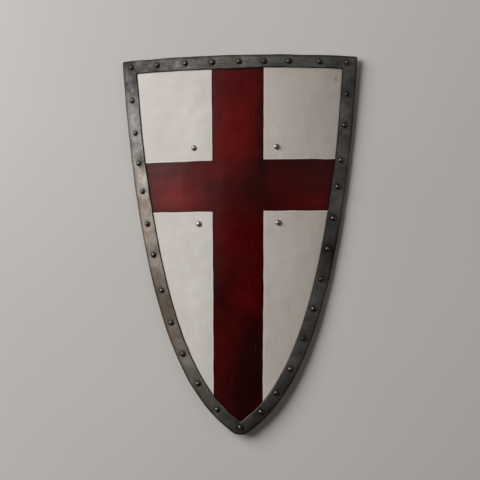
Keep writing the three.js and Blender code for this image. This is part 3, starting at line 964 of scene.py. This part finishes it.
def per_metre(size):
    """The scale of a pattern whose features are `size` millimetres across."""
    return 1000 / size


print("a swatch of gesso white in linear light:", [round(c, 3) for c in linear("#dfd8cf")[:3]])

# %% [markdown]
# One helper adds a node, sets its choices and links its sockets, so that each finish below reads
# as a list of what it is made of.

# %% Add a node
def add_node(tree, kind, inputs=(), stops=(), **choices):
    """Adds one node, sets its choices, and sets or links its sockets.

    inputs pairs a socket's name or number with a value, a node or a socket; a node stands for its
    first socket in use. stops are a colour ramp's (place, swatch) pairs.
    """
    node = tree.nodes.new("ShaderNode" + kind)
    for name, value in choices.items():
        setattr(node, name, value)
    for name, value in dict(inputs).items():
        socket = node.inputs[name] if isinstance(name, int) else next(
            s for s in node.inputs if s.name == name and s.enabled
        )
        if isinstance(value, bpy.types.Node):
            value = next(s for s in value.outputs if s.enabled)
        if isinstance(value, bpy.types.NodeSocket):
            tree.links.new(value, socket)
        else:
            socket.default_value = value
    for index, (place, swatch) in enumerate(stops):
        stop = node.color_ramp.elements[index] if index < 2 else node.color_ramp.elements.new(place)
        stop.position, stop.color = place, linear(swatch)
    return node


def start_material(name):
    """An empty material that uses nodes, and its tree."""
    material = bpy.data.materials.new(name)
    material.use_nodes = True
    material.node_tree.nodes.clear()
    return material, material.node_tree


print("materials so far:", len(bpy.data.materials))

# %% [markdown]
# ## Off-white oil paint on gesso
#
# The field is white oil paint over gesso. Lead or titanium white in oil yellows a little, so it
# reads as a warm off-white with cloudy mottling about a hand wide. Brushed gesso leaves faint
# upright streaks and a stipple of pin-sized dimples. The paint is satin: it has the gloss of its
# oil, broken by its stipple. The ground colour comes first, from a ramp that the broad tones of the
# mesh, the clouds and the streaks move along.

# %% Ground of the white paint
white_paint, tree = start_material("off_white_oil_paint_on_gesso")
place = add_node(tree, "UVMap", uv_map="sheet")
kept = {  # the numbers that the mesh keeps for each of its points
    name: add_node(tree, "Attribute", attribute_name=name).outputs["Fac"]
    for name in ("tone_and_painted_light", "inside_field", "inside_cross", "scuff")
}
cloud = add_node(tree, "TexNoise", {
    "Vector": place, "Scale": per_metre(70), "Detail": 5.0, "Roughness": 0.55,
})
upright = add_node(tree, "Mapping", {"Vector": place, "Scale": (1.0, 0.06, 1.0)})
streak = add_node(tree, "TexNoise", {"Vector": upright, "Scale": per_metre(7), "Detail": 3.0})
# A real stipple is about a millimetre wide, and this one is wider so that it shows.
stipple = add_node(tree, "TexNoise", {
    "Vector": place, "Scale": per_metre(3.2), "Detail": 4.0, "Roughness": 0.6,
})
mottle = add_node(tree, "Math", {0: cloud, 1: 0.75, 2: kept["tone_and_painted_light"]}, operation="MULTIPLY_ADD")
mottle = add_node(tree, "Math", {0: streak, 1: 0.07, 2: mottle}, operation="MULTIPLY_ADD")
colour = add_node(tree, "ValToRGB", {"Fac": mottle},
                  stops=[(0.1, "#cbc4bb"), (0.95, "#eeeae5"), (0.45, "#dcd6cf")])
print(white_paint.name, "has a ground of", len(tree.nodes), "nodes")

# %% [markdown]
# Thin layers then go over the ground, as a painter would lay them. Each one is a swatch, mixed in
# by a share that goes from one value to another while what drives it goes from a start to an end.
# The oil has yellowed a little towards the right, dirt and painted shade darken the paint where it
# meets the steel, and a thicker, paler ridge was left where the white was cut in along the cross.

# %% Layers of the white paint
hue = add_node(tree, "TexNoise", {"Vector": place, "Scale": per_metre(22), "Detail": 2.0})
speck = add_node(tree, "TexNoise", {"Vector": place, "Scale": per_metre(5), "Detail": 2.0})
to_right = add_node(tree, "SeparateXYZ", {"Vector": place}).outputs["X"]
# The dark band along the steel is dirt and painted shade from the rim's step.
dirt_and_shade_width = add_node(tree, "Math", {0: stipple, 1: 2.6, 2: 0.4}, operation="MULTIPLY_ADD")
for start, end, low, high, driver, swatch in (
    (0.42, 0.62, 0.0, 0.45, hue, "#ddd2ce"),  # pinker clouds
    (-0.02, 0.12, 0.0, 0.5, to_right, "#d9cec0"),  # yellowed oil
    (0.71, 0.78, 0.0, 0.4, speck, "#7d6f5f"),  # a few specks
    (0.0, dirt_and_shade_width, 0.9, 0.0, kept["inside_field"], "#4d3b2e"),  # dirt and painted shade against the steel
    (-3.4, -1.4, 0.0, 0.55, kept["inside_cross"], "#f6ebe4"),  # the ridge along the cross
    (-0.9, 0.0, 0.0, 0.6, kept["inside_cross"], "#5a463d"),  # dirt on the cross's line
    (0.1, 0.6, 0.0, 0.7, kept["scuff"], "#5e5449"),  # grime in the scuff
):
    share = add_node(tree, "MapRange", {
        "Value": driver, "From Min": start, "From Max": end, "To Min": low, "To Max": high,
    })
    colour = add_node(tree, "Mix", {0: share, 6: colour, 7: linear(swatch)}, data_type="RGBA")
bump = add_node(tree, "Bump", {"Height": streak, "Strength": 0.04, "Distance": 0.0003})
bump = add_node(tree, "Bump", {"Height": stipple, "Strength": 0.42, "Distance": 0.0004, "Normal": bump})
gloss = add_node(tree, "MapRange", {"Value": stipple, "To Min": 0.50, "To Max": 0.66})
shader = add_node(tree, "BsdfPrincipled", {
    "Base Color": colour, "Roughness": gloss, "IOR": 1.48, "Specular IOR Level": 0.3, "Normal": bump,
})
add_node(tree, "OutputMaterial", {"Surface": shader})
print(white_paint.name, len(tree.nodes), "nodes")

# %% [markdown]
# ## Red oil glaze
#
# The cross is a deep red oil glaze, two or three coats over the same gesso. A glaze is clear, so
# where it pools it goes nearly black and where it is thin it glows. That is why its colour is a
# ramp from brown-black through crimson to a paler, clear red, driven by the broad tones of the mesh,
# by clouds and by upright brush streaks. The top of the ramp, reached over the left arm and the
# upper bar, is painted sheen of the light.

# %% Ground of the red paint
red_paint, tree = start_material("red_oil_glaze")
place = add_node(tree, "UVMap", uv_map="sheet")
kept = {
    name: add_node(tree, "Attribute", attribute_name=name).outputs["Fac"]
    for name in ("tone_and_painted_light", "inside_cross", "inside_field", "painted_sheen")
}
cloud = add_node(tree, "TexNoise", {"Vector": place, "Scale": per_metre(55), "Detail": 4.0})
upright = add_node(tree, "Mapping", {"Vector": place, "Scale": (1.0, 0.05, 1.0)})
streak = add_node(tree, "TexNoise", {"Vector": upright, "Scale": per_metre(9), "Detail": 3.0})
# This stipple, too, is wider than a real one so that it shows.
stipple = add_node(tree, "TexNoise", {
    "Vector": place, "Scale": per_metre(3), "Detail": 4.0, "Roughness": 0.6,
})
# How thin the glaze is, with the painted sheen of the spots mixed in.
thinness_and_sheen = add_node(tree, "Math", {0: cloud, 1: 0.4, 2: kept["tone_and_painted_light"]}, operation="MULTIPLY_ADD")
thinness_and_sheen = add_node(tree, "Math", {0: streak, 1: 0.2, 2: thinness_and_sheen}, operation="MULTIPLY_ADD")
# The palest stop stands for the painted sheen.
colour = add_node(tree, "ValToRGB", {"Fac": thinness_and_sheen},
                  stops=[(0.0, "#260102"), (1.0, "#8e261f"), (0.35, "#4c0101"), (0.7, "#6c0404")])
print(red_paint.name, "has a ground of", len(tree.nodes), "nodes")

# %% [markdown]
# The red darkens along its own edges, where the last stroke left a ridge, and beside the steel, where
# the dark band is dirt and painted shade.
# A faint grey film painted over the upper half stands in for the light's sheen. A few long
# scratches let the gesso show through. The varnish is a little glossier than the white paint.

# %% Layers of the red paint
scratched = add_node(tree, "Mapping", {
    "Vector": place, "Rotation": (0, 0, 0.5), "Scale": (1.0, 0.03, 1.0),
})
scratch = add_node(tree, "TexNoise", {"Vector": scratched, "Scale": per_metre(2.2), "Detail": 1.0})
edge_dark = add_node(tree, "MapRange", {
    "Value": kept["inside_cross"], "From Max": 9.0, "To Min": 0.5, "To Max": 0.0,
})
# Dirt and painted shade along the steel's inner edge.
rim_dirt_and_shade = add_node(tree, "MapRange", {
    "Value": kept["inside_field"], "From Max": 9.0, "To Min": 0.6, "To Max": 0.0,
})
# A faint grey film, painted where the light's sheen falls.
sheen_film = add_node(tree, "Math", {0: kept["painted_sheen"], 1: 0.011}, operation="MULTIPLY")
gesso = add_node(tree, "MapRange", {
    "Value": scratch, "From Min": 0.72, "From Max": 0.78, "To Max": 0.22,
})
for share, swatch in (
    (edge_dark, "#250705"), (rim_dirt_and_shade, "#200605"), (sheen_film, "#b9b0a8"), (gesso, "#8d4a3e"),
):
    colour = add_node(tree, "Mix", {0: share, 6: colour, 7: linear(swatch)}, data_type="RGBA")
bump = add_node(tree, "Bump", {"Height": streak, "Strength": 0.15, "Distance": 0.0003})
bump = add_node(tree, "Bump", {"Height": stipple, "Strength": 0.2, "Distance": 0.0003, "Normal": bump})
gloss = add_node(tree, "MapRange", {
    "Value": cloud, "From Min": 0.3, "From Max": 0.7, "To Min": 0.32, "To Max": 0.42,
})
shader = add_node(tree, "BsdfPrincipled", {
    "Base Color": colour, "Roughness": gloss, "IOR": 1.48, "Specular IOR Level": 0.13, "Normal": bump,
})
add_node(tree, "OutputMaterial", {"Surface": shader})
print(red_paint.name, len(tree.nodes), "nodes")

# %% [markdown]
# ## Oiled lime wood
#
# The back is left as bare planks, rubbed with oil. Lime is pale and plain: its grain is a fine,
# straight figure a few millimetres wide, stretched some thirty times along the plank. Joints
# between planks show as thin dark lines, about 100 mm apart.

# %% Wood of the back and edges
wood, tree = start_material("oiled_lime_wood")
place = add_node(tree, "UVMap", uv_map="sheet")
along_grain = add_node(tree, "Mapping", {"Vector": place, "Scale": (1.0, 0.035, 1.0)})
grain = add_node(tree, "TexNoise", {
    "Vector": along_grain, "Scale": per_metre(5), "Detail": 6.0, "Distortion": 0.6,
})
figure = add_node(tree, "TexNoise", {
    "Vector": along_grain, "Scale": per_metre(28), "Detail": 3.0, "Distortion": 1.2,
})
blend = add_node(tree, "Math", {0: figure, 1: 0.7, 2: grain}, operation="MULTIPLY_ADD")
blend = add_node(tree, "Math", {0: blend, 1: 0.6}, operation="MULTIPLY")
colour = add_node(tree, "ValToRGB", {"Fac": blend},
                  stops=[(0.3, "#4b3421"), (0.75, "#9a7450"), (0.5, "#775637")])
plank = add_node(tree, "SeparateXYZ", {"Vector": place}).outputs["X"]
joint = add_node(tree, "Math", {0: plank, 1: 0.102}, operation="PINGPONG")
joint_share = add_node(tree, "MapRange", {
    "Value": joint, "From Min": 0.0, "From Max": 0.0012, "To Min": 0.8, "To Max": 0.0,
})
colour = add_node(tree, "Mix", {0: joint_share, 6: colour, 7: linear("#22160d")}, data_type="RGBA")
bump = add_node(tree, "Bump", {"Height": grain, "Strength": 0.35, "Distance": 0.0004})
gloss = add_node(tree, "MapRange", {"Value": grain, "To Min": 0.55, "To Max": 0.75})
shader = add_node(tree, "BsdfPrincipled", {"Base Color": colour, "Roughness": gloss, "Normal": bump})
add_node(tree, "OutputMaterial", {"Surface": shader})
for finish_material in (wood, white_paint, red_paint):
    board.data.materials.append(finish_material)
print("the board carries", [m.name for m in board.data.materials])

# %% [markdown]
# ## Aged mild steel
#
# The rim was forged black, ground bright and then left to age. What shows is bare steel with
# cloudy patches a few centimetres wide where it has dulled, brown stains where it began to rust,
# fine scratches along the band, and pits. A metal's look is mostly what it reflects, so the
# patches change its roughness as much as its colour.

# %% Ground of the rim's steel
rim_steel, tree = start_material("aged_mild_steel")
place = add_node(tree, "TexCoord").outputs["Object"]
run = add_node(tree, "UVMap", uv_map="sheet")
kept = {
    name: add_node(tree, "Attribute", attribute_name=name).outputs["Fac"]
    for name in ("tone_and_painted_light", "warm_reflection_and_rust", "from_edge", "by_tip", "by_rivet")
}
cloud = add_node(tree, "TexNoise", {
    "Vector": place, "Scale": per_metre(38), "Detail": 5.0, "Roughness": 0.6,
})
patch = add_node(tree, "TexNoise", {
    "Vector": place, "Scale": per_metre(14), "Detail": 4.0, "Roughness": 0.65, "Distortion": 0.8,
})
# Real scratches are as fine as a hair, and these are wider so that they show.
scratched = add_node(tree, "Mapping", {"Vector": run, "Scale": (0.05, 1.0, 1.0)})
scratch = add_node(tree, "TexNoise", {
    "Vector": scratched, "Scale": per_metre(1.6), "Detail": 3.0, "Roughness": 0.6,
})
wear = add_node(tree, "Math", {0: patch, 1: 0.40, 2: cloud}, operation="MULTIPLY_ADD")
wear = add_node(tree, "Math", {0: scratch, 1: 0.5, 2: wear}, operation="MULTIPLY_ADD")
wear = add_node(tree, "Math", {0: wear, 1: 0.53, 2: kept["tone_and_painted_light"]}, operation="MULTIPLY_ADD")
colour = add_node(tree, "ValToRGB", {"Fac": wear},
                  stops=[(0.26, "#393837"), (0.78, "#a6a4a0"), (0.40, "#5b5a58"), (0.52, "#7a7976")])
# A light warm tan on the left band and the top: painted warm reflection of the light, mixed with rust.
warm_reflection_share = add_node(tree, "Math", {0: kept["warm_reflection_and_rust"], 1: 0.55}, operation="MULTIPLY", use_clamp=True)
colour = add_node(tree, "Mix", {0: warm_reflection_share, 6: colour, 7: linear("#a38a74")}, data_type="RGBA")
print(rim_steel.name, "has a ground of", len(tree.nodes), "nodes")

# %% [markdown]
# Over that ground lie rust stains, which are stronger where the warm spots lie, dark pits, oxide
# and painted shade along the folded outer edge, where it turns away from the light, and dirt round
# each rivet. Dirt and painted shade darken the cut inner edge, except near the tip, where a painted
# highlight lightens it instead. Each layer is laid in the way of the white paint's.

# %% Layers of the rim's steel
stain = add_node(tree, "TexNoise", {
    "Vector": place, "Scale": per_metre(15), "Detail": 6.0, "Roughness": 0.7,
})
stain_depth = add_node(tree, "Math", {0: kept["warm_reflection_and_rust"], 1: 0.4, 2: 0.35}, operation="MULTIPLY_ADD")
pit = add_node(tree, "TexVoronoi", {"Vector": place, "Scale": per_metre(5.5), "Randomness": 1.0})
# Oxide and painted shade along the folded outer edge, where it turns away from the light.
oxide_and_shade_width = add_node(tree, "Math", {0: patch, 1: 7.0, 2: 3.5}, operation="MULTIPLY_ADD")
# The cut inner edge: dirt and painted shade along most of it, and a painted highlight near the tip.
cut_edge_shade_and_highlight = add_node(tree, "Mix", {
    0: kept["by_tip"], 6: linear("#1d1510"), 7: linear("#77726a"),
}, data_type="RGBA")
shares = {}
for layer, start, end, low, high, driver, paint in (
    ("stains", 0.52, 0.70, 0.0, stain_depth, stain, linear("#625040")),
    ("pits", 0.06, 0.2, 0.55, 0.0, pit, linear("#2a241f")),
    ("oxide_and_shade", 1.5, oxide_and_shade_width, 0.62, 0.0, kept["from_edge"], linear("#2f2b27")),
    ("cut edge", 33.0, 34.3, 0.0, 0.85, kept["from_edge"], cut_edge_shade_and_highlight),
    ("dirt", 0.15, 0.75, 0.0, 0.6, kept["by_rivet"], linear("#2e2924")),
):
    shares[layer] = add_node(tree, "MapRange", {
        "Value": driver, "From Min": start, "From Max": end, "To Min": low, "To Max": high,
    })
    colour = add_node(tree, "Mix", {0: shares[layer], 6: colour, 7: paint}, data_type="RGBA")
gloss = add_node(tree, "MapRange", {
    "Value": wear, "From Min": 0.35, "From Max": 0.7, "To Min": 0.68, "To Max": 0.5,
})
bump = add_node(tree, "Bump", {"Height": scratch, "Strength": 0.2, "Distance": 0.0002})
bump = add_node(tree, "Bump", {"Height": patch, "Strength": 0.2, "Distance": 0.0005, "Normal": bump})
bump = add_node(tree, "Bump", {
    "Height": shares["pits"], "Strength": 0.5, "Distance": 0.0003, "Normal": bump,
}, invert=True)
shader = add_node(tree, "BsdfPrincipled", {
    "Base Color": colour, "Metallic": 1.0, "Roughness": gloss, "Normal": bump,
})
add_node(tree, "OutputMaterial", {"Surface": shader})
rim.data.materials.append(rim_steel)
print(rim_steel.name, len(tree.nodes), "nodes")

# %% [markdown]
# ## Rivet heads
#
# The rim's rivets are the same steel, blackened in the fire and polished by handling at the
# crown. The strap rivets were tinned, so they are paler, with the softer gloss of tin. Both are
# bare metal, and differ only in their swatches and gloss, so one loop makes the two materials.

# %% Dark and tinned rivets
rivet_steel = []
for kind, title, dark, pale, dull, shiny in (
    ("rim", "blackened_rivet_steel", "#2b2825", "#74726e", 0.50, 0.26),
    ("strap", "tinned_rivet_steel", "#77716a", "#c6c0b6", 0.56, 0.32),
):
    material, tree = start_material(title)
    place = add_node(tree, "TexCoord").outputs["Object"]
    cloud = add_node(tree, "TexNoise", {
        "Vector": place, "Scale": per_metre(4.5), "Detail": 4.0, "Roughness": 0.6,
    })
    # The grit of a forged surface is finer than this, which is as fine as shows.
    grit = add_node(tree, "TexNoise", {"Vector": place, "Scale": per_metre(1.1), "Detail": 2.0})
    colour = add_node(tree, "ValToRGB", {"Fac": cloud}, stops=[(0.32, dark), (0.68, pale)])
    gloss = add_node(tree, "MapRange", {"Value": cloud, "To Min": dull, "To Max": shiny})
    bump = add_node(tree, "Bump", {"Height": grit, "Strength": 0.3, "Distance": 0.0002})
    shader = add_node(tree, "BsdfPrincipled", {
        "Base Color": colour, "Metallic": 1.0, "Roughness": gloss, "Normal": bump,
    })
    add_node(tree, "OutputMaterial", {"Surface": shader})
    for name, piece in rivets.items():
        if name.startswith(kind):
            piece.data.materials.append(material)
    rivet_steel.append(material.name)
print(rivet_steel)

# %% [markdown]
# ## Vegetable-tanned leather
#
# The straps are cowhide tanned with bark and dyed a cloudy brown. Its grain is a net of small cells
# about a millimetre across, and its cut edges are burnished dark.

# %% Leather of the straps
leather, tree = start_material("vegetable_tanned_leather")
place = add_node(tree, "TexCoord").outputs["Object"]
cloud = add_node(tree, "TexNoise", {"Vector": place, "Scale": per_metre(16), "Detail": 4.0})
# The cells are drawn half as wide again as real ones so that they show.
cell = add_node(tree, "TexVoronoi", {
    "Vector": place, "Scale": per_metre(1.6),
}, feature="DISTANCE_TO_EDGE")
colour = add_node(tree, "ValToRGB", {"Fac": cloud}, stops=[(0.3, "#3a2416"), (0.7, "#6e4a2e")])
edge_share = add_node(tree, "Attribute", attribute_name="edge").outputs["Fac"]
edge_dark = add_node(tree, "Math", {0: edge_share, 1: 0.7}, operation="MULTIPLY")
colour = add_node(tree, "Mix", {0: edge_dark, 6: colour, 7: linear("#1d120b")}, data_type="RGBA")
bump = add_node(tree, "Bump", {"Height": cell, "Strength": 0.4, "Distance": 0.0004})
gloss = add_node(tree, "MapRange", {"Value": cloud, "To Min": 0.48, "To Max": 0.66})
shader = add_node(tree, "BsdfPrincipled", {"Base Color": colour, "Roughness": gloss, "Normal": bump})
add_node(tree, "OutputMaterial", {"Surface": shader})
for piece in straps.values():
    piece.data.materials.append(leather)
print(leather.name, len(tree.nodes), "nodes")

# %% [markdown]
# ## Who rides on what
#
# The imported model has one body, and every new piece rides on it. Each piece also stands for the
# plain solid that it replaces, which is hidden, and is listed with the name of a finish.

# %% Ride and replace
stands_for = [(board, "shield_board", "painted_board"), (rim, "steel_rim", "rim_steel")]
stands_for += [(piece, f"arm_strap_{side}", "strap_leather") for side, piece in straps.items()]
stands_for += [
    (piece, name, "bright_rivet" if name.startswith("strap") else "rim_rivet_steel")
    for name, piece in rivets.items()
]
for piece, node, slot in stands_for:
    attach(piece, "root")
    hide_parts(node)
print(len(stands_for), "pieces ride on the shield's body")

# %% [markdown]
# ## The floor
#
# The shield lies on a plain, pale, matt floor, wide enough that its edge is never seen. It sits a
# hair below zero, so that it doesn't cut into the rim where the shield rests.

# %% Floor
FLOOR_HALF, FLOOR_DROP = 20.0, 0.0004
floor_mesh = bpy.data.meshes.new("studio_floor")
corners = [(-1, -1), (1, -1), (1, 1), (-1, 1)]
floor_mesh.from_pydata(
    [(FLOOR_HALF * x, FLOOR_HALF * y, -FLOOR_DROP) for x, y in corners], [], [(0, 1, 2, 3)]
)
floor = bpy.data.objects.new("studio_floor", floor_mesh)
bpy.context.scene.collection.objects.link(floor)
floor_paint, tree = start_material("matt_studio_floor")
place = add_node(tree, "TexCoord").outputs["Object"]
cloud = add_node(tree, "TexNoise", {"Vector": place, "Scale": 1.5, "Detail": 2.0})
colour = add_node(tree, "ValToRGB", {"Fac": cloud}, stops=[(0.3, "#d8d5d0"), (0.7, "#dedbd7")])
shader = add_node(tree, "BsdfPrincipled", {
    "Base Color": colour, "Roughness": 0.9, "Specular IOR Level": 0.1,
})
add_node(tree, "OutputMaterial", {"Surface": shader})
floor_mesh.materials.append(floor_paint)
print("floor laid")

# %% [markdown]
# ## The lights
#
# A large soft light stands low on the left and a little towards the top edge, so that the bowed
# face turns from light to shade across its width, and the steel on that side catches it. A weak
# light opposite keeps the far rim from going black, and a dim grey world fills the rest.

# %% Lights
def soft_light(name, toward, distance, size, power, tint):
    """A square soft light that stands in a direction from the shield's middle and faces it."""
    data = bpy.data.lights.new(name, "AREA")
    data.shape, data.size, data.energy, data.color = "SQUARE", size, power, linear(tint)[:3]
    light = bpy.data.objects.new(name, data)
    arrow = Vector(toward).normalized()
    light.location = arrow * distance
    light.rotation_euler = arrow.to_track_quat("Z", "Y").to_euler()
    light.visible_camera = False
    bpy.context.scene.collection.objects.link(light)


soft_light("key_light", (-0.68, 0.38, 0.64), 4.2, 3.2, 172, "#fffefe")
soft_light("fill_light", (0.7, 0.3, 0.8), 4.2, 3.0, 14, "#fffaf2")
world = bpy.data.worlds.new("studio")
world.use_nodes = True
world.node_tree.nodes["Background"].inputs["Color"].default_value = linear("#302e2a")
bpy.context.scene.world = world
bpy.context.scene.view_settings.view_transform = "Standard"

# %% [markdown]
# ## The camera
#
# The camera hangs above, square to the shield but for a few degrees, so the lying shield stands
# upright in its view. It is set out in the frame of the upright shield, by the arrows to its right,
# up, and back from what it looks at, and is then laid down with the shield.

# %% Camera
VIEW_CENTRE = np.array([0.0, 13.5, 0.9])  # on the upright shield, in millimetres
CAMERA_DISTANCE = 2300.0
SIDE_ANGLE, ROLL = 0.0856, 0.01025  # how far round to the right it stands and how it is turned, radians
NUDGE_RIGHT, NUDGE_UP = 3.1, -4.0  # a last slide, in millimetres
LENS, SENSOR = 86.25, 36.0

back_arrow = np.array([math.sin(SIDE_ANGLE), 0.0, math.cos(SIDE_ANGLE)])
level_right = np.array([math.cos(SIDE_ANGLE), 0.0, -math.sin(SIDE_ANGLE)])
up = np.array([0.0, 1.0, 0.0])
right_arrow = math.cos(ROLL) * level_right - math.sin(ROLL) * up
up_arrow = math.sin(ROLL) * level_right + math.cos(ROLL) * up
spot = VIEW_CENTRE + CAMERA_DISTANCE * back_arrow + NUDGE_RIGHT * right_arrow + NUDGE_UP * up_arrow
turn = lie @ np.stack([right_arrow, up_arrow, back_arrow], -1)
camera_data = bpy.data.cameras.new("studio_camera")
camera_data.lens, camera_data.sensor_width = LENS, SENSOR
camera = bpy.data.objects.new("studio_camera", camera_data)
camera.matrix_world = Matrix.Translation(Vector(laid(spot))) @ Matrix(turn.tolist()).to_4x4()
bpy.context.scene.collection.objects.link(camera)
bpy.context.scene.camera = camera
print("camera at", [round(v, 3) for v in camera.matrix_world.translation])

# %% [markdown]
# ## The end

# %% Finish
bpy.context.view_layer.update()
